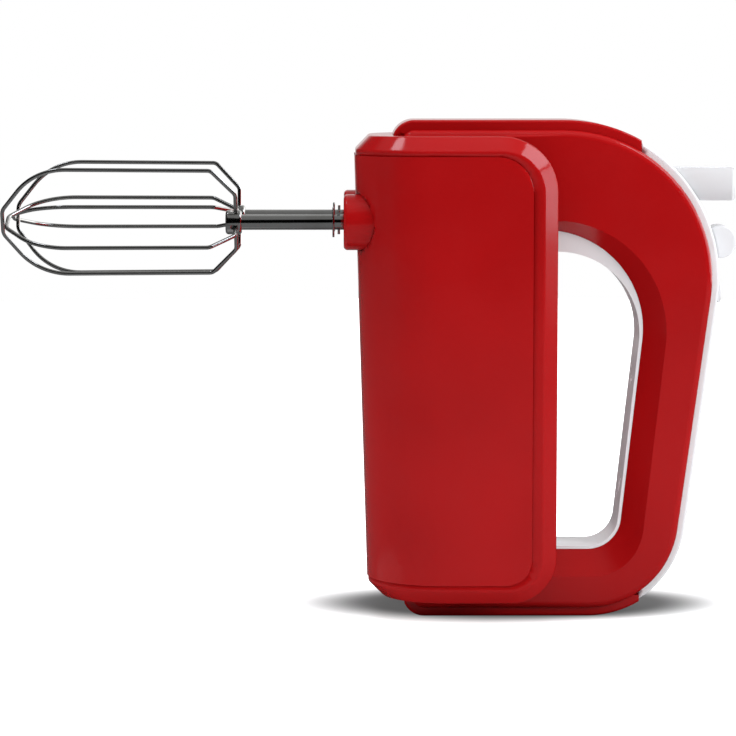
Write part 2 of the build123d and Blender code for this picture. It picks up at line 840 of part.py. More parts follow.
core_slot_width = 2.4
core_slot_depth = 7.0
with BuildPart() as armature_core:
    with BuildSketch(at_drive(core_bottom)):
        Circle(core_radius)
        Circle(shaft_radius + running, mode=Mode.SUBTRACT)
        with PolarLocations(core_radius - core_slot_depth / 2 + 0.5, core_slots):
            Rectangle(core_slot_depth + 1.0, core_slot_width, mode=Mode.SUBTRACT)
    extrude(amount=core_height)
save(armature_core.part, "armature_core")

with BuildPart() as armature_windings:
    for foot in (core_bottom - end_turn_height, core_bottom + core_height):
        with BuildSketch(at_drive(foot)):
            Circle(end_turn_radius)
            Circle(shaft_radius + running, mode=Mode.SUBTRACT)
        extrude(amount=end_turn_height)
    with BuildSketch(at_drive(core_bottom)):
        with PolarLocations(end_turn_radius - 2.5, core_slots):
            Rectangle(5.0, core_slot_width - 2 * snug)
    extrude(amount=core_height)
save(armature_windings.part, "armature_windings")

with BuildPart() as commutator:
    with BuildSketch(at_drive(commutator_bottom)):
        Circle(commutator_radius)
        Circle(shaft_radius + running, mode=Mode.SUBTRACT)
        with PolarLocations(commutator_radius, commutator_bars):
            Rectangle(1.6, 0.5, mode=Mode.SUBTRACT)
    extrude(amount=commutator_height)
save(commutator.part, "commutator")

with BuildPart() as cooling_fan:
    with BuildSketch(at_drive(fan_bottom)):
        Circle(fan_radius)
    extrude(amount=1.2)
    with BuildSketch(at_drive(fan_bottom)):
        Circle(5.5)
        with PolarLocations(fan_radius / 2 + 1.0, fan_blades):
            with Locations(Location((0, 0, 0), (0, 0, 24.0))):
                Rectangle(fan_radius - 5.0, 1.2)
    extrude(amount=fan_height)
    with BuildSketch(at_drive(fan_bottom)):
        Circle(shaft_radius + running)
    extrude(amount=fan_height, mode=Mode.SUBTRACT)
save(cooling_fan.part, "cooling_fan")

# ---------------------------------------------------------------- worm wheels, spindles and ejector
lead = radians(lead_angle)
with BuildPart() as slot_form:
    with BuildSketch(Plane(origin=(0, 0, 0), x_dir=(1, 0, 0), z_dir=(0, sin(lead), cos(lead)))):
        with BuildLine():
            Polyline(
                (wheel_slot_radius, -wheel_slot_root_width / 2),
                (wheel_tip_radius + 1.0, -wheel_slot_tip_width / 2 - 0.2),
                (wheel_tip_radius + 1.0, wheel_slot_tip_width / 2 + 0.2),
                (wheel_slot_radius, wheel_slot_root_width / 2),
                close=True,
            )
        make_face()
    extrude(amount=wheel_width, both=True)


def worm_wheel(first_slot):
    """A worm wheel about its own Z axis, its first slot turned by first_slot degrees."""
    with BuildPart() as wheel:
        with BuildSketch(Plane.XY.offset(-wheel_width / 2)):
            Circle(wheel_tip_radius)
        extrude(amount=wheel_width)
        with PolarLocations(0, worm_teeth, start_angle=first_slot):
            add(slot_form.part, mode=Mode.SUBTRACT)
        hub_low = frame_front + frame_wall + clearance - drive_x
        hub_high = frame_back - frame_wall - clearance - drive_x
        with BuildSketch(Plane.XY.offset(hub_low)):
            Circle(wheel_hub_radius)
        extrude(amount=hub_high - hub_low)
        with BuildSketch(Plane.XY.offset(hub_low)):
            Circle(spindle_radius + running)
        extrude(amount=hub_high - hub_low, mode=Mode.SUBTRACT)
    return wheel.part


pin_front = beater_shaft_inner_end + clearance
pin_back = frame_back + eject_travel + 1.0
yoke_front = pin_back + clearance
half_pitch = 180.0 / worm_teeth
for sign in (-1, 1):
    wheel = worm_wheel(half_pitch if sign < 0 else 0.0).moved(beater_axis(sign, drive_x).location)
    save(wheel, side_of(sign) + "_worm_wheel")
    with BuildPart() as spindle:
        with BuildSketch(beater_axis(sign, spindle_front)):
            Circle(spindle_radius)
        extrude(amount=frame_back - spindle_front)
        with BuildSketch(beater_axis(sign, spindle_front)):
            Circle(beater_shaft_radius + running)
        extrude(amount=pin_front - spindle_front, mode=Mode.SUBTRACT)
        with BuildSketch(beater_axis(sign, pin_front)):
            Circle(ejector_pin_radius + running)
        extrude(amount=frame_back - pin_front, mode=Mode.SUBTRACT)
    save(spindle.part, side_of(sign) + "_spindle")
    with BuildPart() as pin:
        with BuildSketch(beater_axis(sign, pin_front)):
            Circle(ejector_pin_radius)
        extrude(amount=pin_back - pin_front)
    save(pin.part, side_of(sign) + "_ejector_pin")

with BuildPart() as ejector_yoke:
    with BuildSketch(Plane.YZ.offset(yoke_front)):
        with Locations((0, (beater_z + eject_z) / 2)):
            RectangleRounded(2 * yoke_half, eject_z - beater_z + 9.0, 3.0)
    extrude(amount=yoke_thickness)
    with BuildSketch(Plane.YZ.offset(yoke_front)):
        with Locations((0, eject_z)):
            Rectangle(10.0, 7.0)
    extrude(amount=button_inner_x - yoke_front)
save(ejector_yoke.part, "ejector_yoke")

with BuildPart() as eject_button:
    with BuildSketch(Plane.YZ.offset(button_inner_x)):
        with Locations((0, eject_z)):
            Rectangle(2 * eject_half, eject_height)
    extrude(amount=eject_back - button_inner_x)
    outer_face = eject_button.faces().sort_by(Axis.X)[-1]
    fillet(outer_face.edges(), radius=1.5)
save(eject_button.part, "eject_button")


def coil_spring(start, direction, length, radius, wire, turns):
    """A compression spring that starts at a point and runs along a direction."""
    with BuildPart() as spring:
        with BuildLine() as coil:
            Helix(length / turns, length, radius, center=start, direction=direction)
        with BuildSketch(Plane(origin=coil.line @ 0, z_dir=coil.line % 0)):
            Circle(wire)
        sweep(path=coil.line, is_frenet=True)
    return spring.part


spring_wire = 0.4
spring_room = yoke_front - frame_back
eject_spring = coil_spring(
    (frame_back + spring_wire + snug, 0, beater_z + 4.0),
    (1, 0, 0),
    spring_room - 2 * (spring_wire + snug),
    3.5,
    spring_wire,
    3.5,
)
save(eject_spring, "eject_spring")

# ---------------------------------------------------------------- beaters
wire_x = (hub_front + hub_back) / 2 + 0.8
wire_seat = 3.6


def beater_shaft(sign, phase):
    """A beater's shaft with its flange, lugs and hub, the hub drilled for the four wire ends."""
    with BuildPart() as shaft:
        with BuildSketch(beater_axis(sign, hub_back)):
            Circle(beater_shaft_radius)
        extrude(amount=beater_shaft_inner_end - hub_back)
        chamfer(shaft.faces().sort_by(Axis.X)[-1].edges(), length=0.8)
        with BuildSketch(beater_axis(sign, hub_front)):
            Circle(hub_radius)
        extrude(amount=hub_back - hub_front)
        hub_rims = shaft.edges().filter_by(GeomType.CIRCLE).filter_by(lambda rim: rim.radius > hub_radius - 0.1)
        fillet(hub_rims, radius=1.2)
        with BuildSketch(beater_axis(sign, flange_x)):
            Circle(flange_radius)
        extrude(amount=flange_thickness)
        with BuildSketch(beater_axis(sign, flange_x + 2.0)):
            Rectangle(9.4, 1.6)
        extrude(amount=1.0)
        for quarter in range(4):
            turn = radians(phase + 90.0 * quarter)
            outward = (0, -sin(turn), cos(turn))
            with BuildSketch(Plane(origin=(wire_x, sign * beater_spacing / 2, beater_z), z_dir=outward).offset(wire_seat - 0.2)):
                Circle(wire_radius + running)
            extrude(amount=hub_radius, mode=Mode.SUBTRACT)
    return shaft.part


def wire_loop(sign, turn, tip):
    """One closed wire loop, from its seat in the hub out, round the tip and back."""
    turned = radians(turn)
    outward = Vector(0, -sin(turned), cos(turned))
    plane = Plane(
        origin=(0, sign * beater_spacing / 2, beater_z), x_dir=outward, z_dir=outward.cross(Vector(1, 0, 0))
    )
    half = [
        (wire_seat, wire_x),
        (11.9, wire_x),
        (cage_shoulder_radius, wire_x - 9.6),
        (cage_radius, tip + 13.5),
        (5.0, tip),
    ]
    bends = [3.0, 3.0, 24.0, 5.0]
    points = half + [(-radius, x) for radius, x in reversed(half)]
    with BuildPart() as wire:
        with BuildLine(plane) as path:
            FilletPolyline(*points, radius=bends + bends[::-1])
        with BuildSketch(Plane(origin=path.line @ 0, z_dir=path.line % 0)):
            Circle(wire_radius)
        sweep(path=path.line)
    return wire.part


for sign, phase in ((-1, near_phase), (1, far_phase)):
    save(beater_shaft(sign, phase), side_of(sign) + "_beater_shaft")
    loops = [wire_loop(sign, phase, cage_tip), wire_loop(sign, phase + 90.0, cage_tip + cage_tip_step)]
    with BuildPart() as wires:
        add(loops)
    save(wires.part, side_of(sign) + "_beater_wires")

# ---------------------------------------------------------------- controls on the handle
strip_radius = shoulder_radius + strip_proud
wall_inside = shoulder_radius - shell_wall
wiper_outside = wall_inside - 0.5
wiper_inside = wiper_outside - 2.5
block_outside = wiper_inside - clearance
block_inside = 42.0


def draw_sector(inner, outer, low, high):
    """A piece of a ring round the shoulder's centre, between two radii and two angles."""
    with BuildLine() as edge:
        corners = []
        for reach, turn in ((inner, low), (outer, low), (outer, high), (inner, high)):
            corners.append(
                (arc_centre_x + reach * cos(radians(turn)), arc_centre_z + reach * sin(radians(turn)))
            )
        middle = radians((low + high) / 2)
        Line(corners[0], corners[1])
        crown = (arc_centre_x + outer * cos(middle), arc_centre_z + outer * sin(middle))
        ThreePointArc(corners[1], crown, corners[2])
        Line(corners[2], corners[3])
        waist = (arc_centre_x + inner * cos(middle), arc_centre_z + inner * sin(middle))
        ThreePointArc(corners[3], waist, corners[0])
    make_face(edge.edges())


knob_centre_radius = strip_radius + 2.5
with BuildPart() as speed_knob:
    with BuildSketch(Plane.XZ) as knob_outline:
        with Locations(
            (
                arc_centre_x + knob_centre_radius * cos(radians(knob_angle)),
                arc_centre_z + knob_centre_radius * sin(radians(knob_angle)),
            )
        ):
            Circle(knob_radius)
        with Locations((arc_centre_x, arc_centre_z)):
            Circle(strip_radius + clearance, mode=Mode.SUBTRACT)
    extrude(amount=knob_half, both=True)
    fillet(speed_knob.faces().filter_by(Axis.Y).edges(), radius=1.0)
    with BuildSketch(Plane.XZ):
        draw_sector(wiper_outside, strip_radius + 2.0, knob_angle - knob_neck_angle, knob_angle + knob_neck_angle)
    extrude(amount=knob_neck_half, both=True)
save(speed_knob.part, "speed_knob")

with BuildPart() as speed_wiper:
    with BuildSketch(Plane.XZ):
        draw_sector(wiper_inside, wiper_outside, knob_angle - 5.0, knob_angle + 5.0)
    extrude(amount=5.0, both=True)
save(speed_wiper.part, "speed_wiper")

with BuildPart() as switch_block:
    with BuildSketch(Plane.XZ):
        draw_sector(block_inside, block_outside, 0.0, 25.0)
    extrude(amount=switch_half, both=True)
save(switch_block.part, "switch_block")

turbo_switch_half_x = 5.0
turbo_switch_face = turbo_switch_x + turbo_switch_half_x
turbo_plane = Plane(origin=(turbo_switch_x, 0, turbo_switch_z), x_dir=(0, 1, 0), z_dir=(1, 0, 0))
with BuildPart() as turbo_switch:
    with BuildSketch(turbo_plane):
        Rectangle(2 * switch_half, 9.0)
    extrude(amount=turbo_switch_half_x, both=True)
save(turbo_switch.part, "turbo_switch")

strip_at_turbo = arc_centre_x + sqrt(strip_radius**2 - (turbo_z - arc_centre_z) ** 2)
wall_at_turbo = arc_centre_x + sqrt(wall_inside**2 - (turbo_z - arc_centre_z) ** 2)
turbo_out = strip_at_turbo + turbo_reach
turbo_flange = 2.2
turbo_flange_x = wall_at_turbo - 1.0 - turbo_flange
turbo_stem_radius = 1.5
with BuildPart() as turbo_button:
    with BuildSketch(Plane.YZ.offset(turbo_flange_x)):
        with Locations((0, turbo_z)):
            Rectangle(2 * turbo_half, turbo_height)
    extrude(amount=turbo_out - turbo_flange_x)
    fillet(turbo_button.faces().sort_by(Axis.X)[-1].edges(), radius=0.6)
    with BuildSketch(Plane.YZ.offset(turbo_flange_x)):
        with Locations((0, turbo_z)):
            Rectangle(2 * turbo_half + 4.0, turbo_height + 1.6)
    extrude(amount=turbo_flange)
    stem_x = turbo_switch_face + turbo_travel + clearance
    with BuildSketch(Plane.YZ.offset(stem_x)):
        with Locations((0, turbo_z)):
            Circle(turbo_stem_radius)
    extrude(amount=turbo_flange_x - stem_x)
save(turbo_button.part, "turbo_button")

turbo_spring = coil_spring(
    (turbo_switch_face + 0.4, 0, turbo_z), (1, 0, 0), turbo_flange_x - turbo_switch_face - 0.8, 2.4, 0.3, 2.5
)
save(turbo_spring, "turbo_spring")
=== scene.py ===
# %% [markdown]
# # Hand mixer
# A hand mixer stands on its heel with the beaters to the left. The imported model brings every rigid
# solid in its true place, so this lesson is about finish: smooth shading, moulded plastic, bright
# metal, two springs that stay with the housing, a few small raised marks, and soft light.

# %% Load the imported model
import json
from math import cos, pi, radians, sin

import bpy
from mathutils import Matrix, Vector


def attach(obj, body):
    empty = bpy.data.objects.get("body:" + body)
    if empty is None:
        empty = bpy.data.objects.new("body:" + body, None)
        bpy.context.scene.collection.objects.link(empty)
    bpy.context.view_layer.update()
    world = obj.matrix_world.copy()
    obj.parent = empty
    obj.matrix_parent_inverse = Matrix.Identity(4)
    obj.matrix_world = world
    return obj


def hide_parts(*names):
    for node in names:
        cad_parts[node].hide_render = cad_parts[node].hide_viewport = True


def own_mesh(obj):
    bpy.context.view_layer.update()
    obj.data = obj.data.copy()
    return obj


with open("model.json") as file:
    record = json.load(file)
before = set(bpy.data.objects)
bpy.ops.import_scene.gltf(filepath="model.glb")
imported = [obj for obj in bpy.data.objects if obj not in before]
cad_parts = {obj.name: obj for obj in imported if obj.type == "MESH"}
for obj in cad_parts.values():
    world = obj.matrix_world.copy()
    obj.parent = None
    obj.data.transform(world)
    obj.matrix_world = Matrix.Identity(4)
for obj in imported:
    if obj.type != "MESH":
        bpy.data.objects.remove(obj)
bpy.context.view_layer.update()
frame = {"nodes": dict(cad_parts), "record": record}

nodes = frame["nodes"]

# %% [markdown]
# ## Colours
# A colour is easiest to pick as it looks on a screen, but a shader wants linear light. The values
# could be turned by hand, one by one. A small helper does it instead, so that each finish below
# names the colour that it should have.

# %% Helper for colours
def screen(red, green, blue):
    """A linear RGBA colour from screen values of 0 to 255."""
    def linear(value):
        value = value / 255
        return value / 12.92 if value <= 0.04045 else ((value + 0.055) / 1.055) ** 2.4
    return (linear(red), linear(green), linear(blue), 1.0)


print("mid grey is", round(screen(128, 128, 128)[0], 3), "in linear light")

# %% [markdown]
# ## Nodes
# A material is a tree of small nodes, and each input of a node is either a plain value or the output
# of another node. By hand both are done with the mouse. Here one helper adds a node and fills its
# inputs either way, by the names that they have in Blender's window, or by number where two inputs
# share a name. Four more wrap the nodes that come back most often.

# %% Helpers for nodes
def add_node(tree, kind, inputs, **settings):
    """A new node in a tree. Each input is given a value or joined to another node's output."""
    node = tree.nodes.new(kind)
    for key, value in settings.items():
        setattr(node, key, value)
    for label, value in inputs.items():
        if isinstance(value, bpy.types.NodeSocket):
            tree.links.new(value, node.inputs[label])
        else:
            node.inputs[label].default_value = value
    return node


def noise(tree, vector, scale, detail, distortion=0.0):
    """Noise of 0 to 1 on a vector, with this many grains to a metre."""
    inputs = {"Vector": vector, "Scale": scale, "Detail": detail, "Distortion": distortion}
    return add_node(tree, "ShaderNodeTexNoise", inputs).outputs["Fac"]


def ramp(tree, source, start, end, low=0.0, high=1.0, curve="LINEAR"):
    """A value that goes from low to high while its source goes from start to end."""
    inputs = {"Value": source, "From Min": start, "From Max": end, "To Min": low, "To Max": high}
    return add_node(tree, "ShaderNodeMapRange", inputs, interpolation_type=curve).outputs["Result"]


def combine(tree, operation, first, second):
    """Two values joined by a sum, a product or a quotient."""
    return add_node(tree, "ShaderNodeMath", {0: first, 1: second}, operation=operation).outputs[0]


def blend(tree, kind, factor, first, second):
    """A mix of two colours or two numbers. Factor 0 gives the first and 1 the second."""
    inputs = {"Factor": factor, "A": first, "B": second}
    return add_node(tree, "ShaderNodeMix", inputs, data_type=kind).outputs["Result"]


print("node helpers ready")

# %% [markdown]
# ## Groups and materials
# An effect that several finishes share is built once, as a node group with named inputs and outputs.
# It could be copied into each material, but then one change would have to be made in many places.
# Every group here puts out a colour, a roughness and a height.

# %% Helpers for groups and materials
def start_group(name, inputs):
    """An empty shader group with named inputs. Gives its tree and the outputs of its input node."""
    tree = bpy.data.node_groups.new(name, "ShaderNodeTree")
    for label, kind, value in inputs:
        socket = tree.interface.new_socket(label, in_out="INPUT", socket_type="NodeSocket" + kind)
        socket.default_value = value
    for label, kind in (("Colour", "Color"), ("Roughness", "Float"), ("Height", "Float")):
        tree.interface.new_socket(label, in_out="OUTPUT", socket_type="NodeSocket" + kind)
    return tree, add_node(tree, "NodeGroupInput", {}).outputs


def finish_group(tree, colour, roughness, height):
    """Joins what the group puts out to its output node."""
    add_node(tree, "NodeGroupOutput", {"Colour": colour, "Roughness": roughness, "Height": height})
    print("group", tree.name, "nodes", len(tree.nodes))


def start_material(name):
    """A node material, its tree and its Principled shader."""
    material = bpy.data.materials.new(name + "_finish")
    material.use_nodes = True
    return material, material.node_tree, material.node_tree.nodes["Principled BSDF"]


print("group and material helpers ready")

# %% [markdown]
# ## The skin of moulded plastic
# Glossy plastic is never quite even. Its surface has a very fine orange peel, its wall sinks a
# little in slow waves, fingers leave it duller in patches, and the pigment clouds slightly. Plain
# numbers on the shader would give a perfect surface that looks drawn. The group makes all four from
# noise on object coordinates, which needs no unwrapped surface and suits every shape on the mixer.

# %% Shared group: moulded skin
skin, given = start_group(
    "moulded_skin",
    [
        ("Colour", "Color", (0.5, 0.5, 0.5, 1)),
        ("Cloud Colour", "Color", (0.4, 0.4, 0.4, 1)),
        ("Shiny", "Float", 0.2),
        ("Dull", "Float", 0.3),
        ("Grain Size", "Float", 0.0015),
        ("Grain", "Float", 1.0),
        ("Waves", "Float", 0.5),
    ],
)
place = add_node(skin, "ShaderNodeTexCoord", {}).outputs["Object"]
grains_per_metre = combine(skin, "DIVIDE", 1.0, given["Grain Size"])
peel = noise(skin, place, scale=grains_per_metre, detail=2.0)
waves = noise(skin, place, scale=22.0, detail=1.0)
touch = noise(skin, place, scale=55.0, detail=5.0, distortion=0.6)

clouded = ramp(skin, waves, 0.35, 0.65)
pigment = blend(skin, "RGBA", clouded, given["Colour"], given["Cloud Colour"])
handled = ramp(skin, touch, 0.3, 0.75, given["Shiny"], given["Dull"])
fine = combine(skin, "MULTIPLY", peel, given["Grain"])
slow = combine(skin, "MULTIPLY", waves, given["Waves"])
finish_group(skin, pigment, handled, combine(skin, "ADD", fine, slow))

# %% [markdown]
# ## Drawn and turned metal
# Wire is drawn through a die and a shaft is turned or ground, so metal carries fine lines in one
# direction, and polish leaves them only as a faint change of gloss. An anisotropic shader could
# hint at them, but it needs a direction all over the surface. The group stretches noise along one
# axis of the vector that it is given, and the material turns that vector, so that one group serves
# wires and shafts.

# %% Shared group: drawn metal
drawn, given = start_group(
    "drawn_metal",
    [
        ("Vector", "Vector", (0, 0, 0)),
        ("Colour", "Color", (0.8, 0.8, 0.8, 1)),
        ("Stain", "Color", (0.6, 0.6, 0.6, 1)),
        ("Shiny", "Float", 0.08),
        ("Dull", "Float", 0.2),
    ],
)
lines_per_metre = (30.0, 2600.0, 2600.0)
stretch = add_node(drawn, "ShaderNodeMapping", {"Vector": given["Vector"], "Scale": lines_per_metre})
lines = noise(drawn, stretch.outputs["Vector"], scale=1.0, detail=3.0)
stains = noise(drawn, given["Vector"], scale=90.0, detail=4.0)

stained = ramp(drawn, stains, 0.5, 0.8)
tarnish = blend(drawn, "RGBA", stained, given["Colour"], given["Stain"])
gloss = ramp(drawn, lines, 0.3, 0.7, given["Shiny"], given["Dull"])
finish_group(drawn, tarnish, gloss, lines)

# %% [markdown]
# ## Layers
# Some pieces inside are made of many thin things side by side: the motor's iron is a stack of
# stamped sheets, and its coils are rows of enamelled wire. Real layers would cost thousands of
# faces on pieces that are seen only when the housing is opened. A sine across the layers gives both
# the dark joints and the rounded relief, and costs no face at all.

# %% Shared group: layers
layers, given = start_group(
    "layers",
    [
        ("Vector", "Vector", (0, 0, 0)),
        ("Pitch", "Float", 0.001),
        ("Colour", "Color", (0.5, 0.5, 0.5, 1)),
        ("Joint", "Color", (0.1, 0.1, 0.1, 1)),
        ("Shiny", "Float", 0.3),
        ("Dull", "Float", 0.6),
    ],
)
across = add_node(layers, "ShaderNodeSeparateXYZ", {"Vector": given["Vector"]}).outputs["Z"]
turns_per_metre = combine(layers, "DIVIDE", 2 * pi, given["Pitch"])
phase = combine(layers, "MULTIPLY", across, turns_per_metre)
ripple = add_node(layers, "ShaderNodeMath", {0: phase}, operation="SINE").outputs[0]
layer = ramp(layers, ripple, -1.0, 0.2)
uneven = noise(layers, given["Vector"], scale=140.0, detail=3.0)

patches = ramp(layers, uneven, 0.2, 0.6, 0.7)
tint = blend(
    layers, "RGBA", combine(layers, "MULTIPLY", layer, patches), given["Joint"], given["Colour"]
)
sheen = ramp(layers, uneven, 0.0, 1.0, given["Shiny"], given["Dull"])
finish_group(layers, tint, sheen, layer)

# %% [markdown]
# ## From a group to a material
# Every finish below follows the same pattern. A group gives colour, roughness and a height, a Bump
# node turns the height into a normal, and the Principled shader does the rest. The relief could be
# real geometry, but it is far finer than any face. The bump's distance is its depth in metres.

# %% Helpers for finishes
def add_relief(tree, shader, height, depth):
    """Bumps a shader's surface by a height, with a relief this deep."""
    bump = add_node(tree, "ShaderNodeBump", {"Distance": depth, "Height": height})
    tree.links.new(bump.outputs["Normal"], shader.inputs["Normal"])


def use_group(tree, shader, group, values, depth):
    """Places a group in a material and joins it to the shader, with a relief this deep."""
    node = add_node(tree, "ShaderNodeGroup", values, node_tree=group)
    tree.links.new(node.outputs["Colour"], shader.inputs["Base Color"])
    tree.links.new(node.outputs["Roughness"], shader.inputs["Roughness"])
    add_relief(tree, shader, node.outputs["Height"], depth)


def turned_place(tree, angles):
    """Object coordinates, turned by three angles in degrees."""
    turn = [radians(angle) for angle in angles]
    place = add_node(tree, "ShaderNodeTexCoord", {}).outputs["Object"]
    mapping = add_node(tree, "ShaderNodeMapping", {"Vector": place, "Rotation": turn})
    return mapping.outputs["Vector"]


print("finish helpers ready")

# %% [markdown]
# ## Red gloss
# The housing is red ABS, moulded in a polished tool. It is a deep, slightly cool red that shines
# clearly at every rounded edge and stays saturated where it faces the dark side of the room. Paint
# would need a strong clear coat over it. Here the plastic itself shines, so its roughness is low,
# the coat is slight and the relief is almost nothing.

# %% Material: red gloss
finish = {}
finish["red_gloss"], tree, shader = start_material("red_gloss")
red_skin = {
    "Colour": screen(162, 15, 17),
    "Cloud Colour": screen(155, 13, 15),
    "Shiny": 0.1,
    "Dull": 0.15,
    "Grain Size": 0.0022,
    "Grain": 0.12,
    "Waves": 1.0,
}
use_group(tree, shader, skin, red_skin, depth=0.00009)
shader.inputs["Specular IOR Level"].default_value = 0.5
shader.inputs["Coat Weight"].default_value = 0.05
shader.inputs["Coat Roughness"].default_value = 0.06
print("made", finish["red_gloss"].name)

# %% [markdown]
# ## White gloss and white rubber
# The eject button, the speed knob and the turbo key are white gloss. The strip they sit in and the
# lining of the finger hole are softer to the hand, with a fine matt grain. One white for all would
# save a material, but the two ways of shining are what tells the buttons from the strip.

# %% Materials: white gloss, white rubber
finish["white_gloss"], tree, shader = start_material("white_gloss")
button_skin = {
    "Colour": screen(224, 224, 226),
    "Cloud Colour": screen(219, 219, 220),
    "Shiny": 0.2,
    "Dull": 0.3,
    "Grain Size": 0.0015,
    "Grain": 0.2,
    "Waves": 0.6,
}
use_group(tree, shader, skin, button_skin, depth=0.00006)
finish["white_rubber"], tree, shader = start_material("white_rubber")
strip_skin = {
    "Colour": screen(249, 248, 247),
    "Cloud Colour": screen(245, 244, 243),
    "Shiny": 0.42,
    "Dull": 0.58,
    "Grain Size": 0.0004,
    "Grain": 1.0,
    "Waves": 0.4,
}
use_group(tree, shader, skin, strip_skin, depth=0.00004)
print("made the two whites")

# %% [markdown]
# ## Bright metal
# The beaters are chrome plated. Chrome has hardly any colour of its own, so it is drawn by what it
# mirrors: a pale wall behind and a dark room in front. The shafts inside are plain ground steel,
# duller and a little darker. Both could be one metal with two values of roughness, but their stains
# differ too, so each places the drawn metal group with its own values.

# %% Materials: chrome, steel
def drawn_finish(name, colour, stain, shiny, dull, turn, depth):
    """A metal with drawn or ground lines, whose lines run along x turned by three angles."""
    material, tree, shader = start_material(name)
    values = {"Colour": colour, "Stain": stain, "Shiny": shiny, "Dull": dull}
    values["Vector"] = turned_place(tree, turn)
    use_group(tree, shader, drawn, values, depth)
    shader.inputs["Metallic"].default_value = 1.0
    return material


finish["chrome"] = drawn_finish(
    "chrome", screen(214, 214, 212), screen(196, 195, 190), 0.07, 0.14, (0, 0, 0), depth=0.000002
)
finish["steel"] = drawn_finish(
    "steel", screen(186, 186, 188), screen(150, 148, 144), 0.22, 0.38, (0, 90, 0), depth=0.000006
)
print("made chrome and steel")

# %% [markdown]
# ## Bronze bushes
# The bushes are sintered bronze, which is full of tiny pores that hold oil. Noise would look like
# dirt, so Voronoi cells give the pores: the nearer a point is to a cell's centre, the deeper and
# darker it is.

# %% Material: bronze
finish["bronze"], tree, shader = start_material("bronze")
place = add_node(tree, "ShaderNodeTexCoord", {}).outputs["Object"]
pores = add_node(tree, "ShaderNodeTexVoronoi", {"Vector": place, "Scale": 2200.0})
metal = ramp(tree, pores.outputs["Distance"], 0.1, 0.35)
oily, bare = screen(70, 44, 22), screen(186, 134, 78)
tree.links.new(blend(tree, "RGBA", metal, oily, bare), shader.inputs["Base Color"])
tree.links.new(ramp(tree, metal, 0.0, 1.0, 0.55, 0.32), shader.inputs["Roughness"])
add_relief(tree, shader, metal, depth=0.00004)
shader.inputs["Metallic"].default_value = 1.0
print("made", finish["bronze"].name)

# %% [markdown]
# ## Motor iron and copper
# The iron is a stack of 0.5 mm sheets, and the coils are 0.4 mm enamelled wire, so both use the
# layers group with their real pitch. The wire's layers lean a few degrees, as a winding does, and
# its enamel is a clear coat over the copper.

# %% Materials: lamination, copper
finish["lamination"], tree, shader = start_material("lamination")
stamped_sheets = {
    "Vector": turned_place(tree, (0, 0, 0)),
    "Pitch": 0.0005,
    "Colour": screen(138, 138, 142),
    "Joint": screen(62, 62, 66),
    "Shiny": 0.35,
    "Dull": 0.6,
}
use_group(tree, shader, layers, stamped_sheets, depth=0.00005)
shader.inputs["Metallic"].default_value = 0.85
finish["copper"], tree, shader = start_material("copper")
wound_wire = {
    "Vector": turned_place(tree, (4, 3, 0)),
    "Pitch": 0.0004,
    "Colour": screen(196, 104, 58),
    "Joint": screen(84, 34, 18),
    "Shiny": 0.22,
    "Dull": 0.4,
}
use_group(tree, shader, layers, wound_wire, depth=0.0001)
shader.inputs["Metallic"].default_value = 0.9
shader.inputs["Coat Weight"].default_value = 0.4
print("made lamination and copper")

# %% [markdown]
# ## The inside plastics
# The frame that holds the gears is black glass-filled nylon with a coarse grain, the brush holders
# and switches are grey, the wheels are natural nylon, and the brushes are pressed carbon. Each could
# be written out as the red is, but they differ only in a few numbers, so one function makes them.

# %% Materials: black plastic, grey plastic, gear nylon, carbon
def inside_plastic(name, colour, cloud, shiny, dull, grain_size, depth):
    """A plainer plastic from the moulded skin group."""
    material, tree, shader = start_material(name)
    values = {
        "Colour": colour,
        "Cloud Colour": cloud,
        "Shiny": shiny,
        "Dull": dull,
        "Grain Size": grain_size,
        "Grain": 1.0,
        "Waves": 0.3,
    }
    use_group(tree, shader, skin, values, depth)
    return material


finish["black_plastic"] = inside_plastic(
    "black_plastic", screen(34, 34, 36), screen(46, 46, 48), 0.36, 0.52, 0.0006, depth=0.00005
)
finish["grey_plastic"] = inside_plastic(
    "grey_plastic", screen(124, 125, 128), screen(112, 113, 116), 0.38, 0.54, 0.0007, depth=0.00004
)
finish["gear_nylon"] = inside_plastic(
    "gear_nylon", screen(232, 227, 208), screen(222, 214, 190), 0.3, 0.42, 0.001, depth=0.00002
)
finish["carbon"] = inside_plastic(
    "carbon", screen(48, 47, 46), screen(64, 62, 60), 0.5, 0.72, 0.0003, depth=0.00004
)
print("finishes", sorted(finish))

# %% [markdown]
# ## Dress the solids
# Each piece of the real mixer is made of one material. The finishes could be given out piece by
# piece from a list, but each solid already names the finish of its slot, so the matching material
# takes that place and no piece can be forgotten. The solids keep their own mesh.

# %% Give every solid its finish
def slot_of(solid):
    """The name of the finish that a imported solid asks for."""
    names = " ".join(material.name for material in solid.data.materials)
    return next(key for key in finish if key in names)


chosen = {name: slot_of(solid) for name, solid in nodes.items()}
for name, solid in nodes.items():
    solid.data.materials.clear()
    solid.data.materials.append(finish[chosen[name]])
print("dressed", len(chosen), "solids")

# %% [markdown]
# ## The handle's flat sides
# A real shell is flat on the handle's side, and gloss there is one even tone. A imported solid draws
# that flat as long thin triangles, and once they are shaded smooth, each of them bends the light a
# little at its tips. Sharper edges wouldn't help, because the round beside the flat needs its smooth
# shading. So the triangles of each flat side are picked by their direction and place, and a limited
# dissolve makes them one face.

# %% Helper that merges the handle's sides
flat_sided = {"left_shell", "right_shell"}
handle_half_width = 0.018
place_slack = 0.0005
least_across = 0.9999
flat_within = radians(0.3)


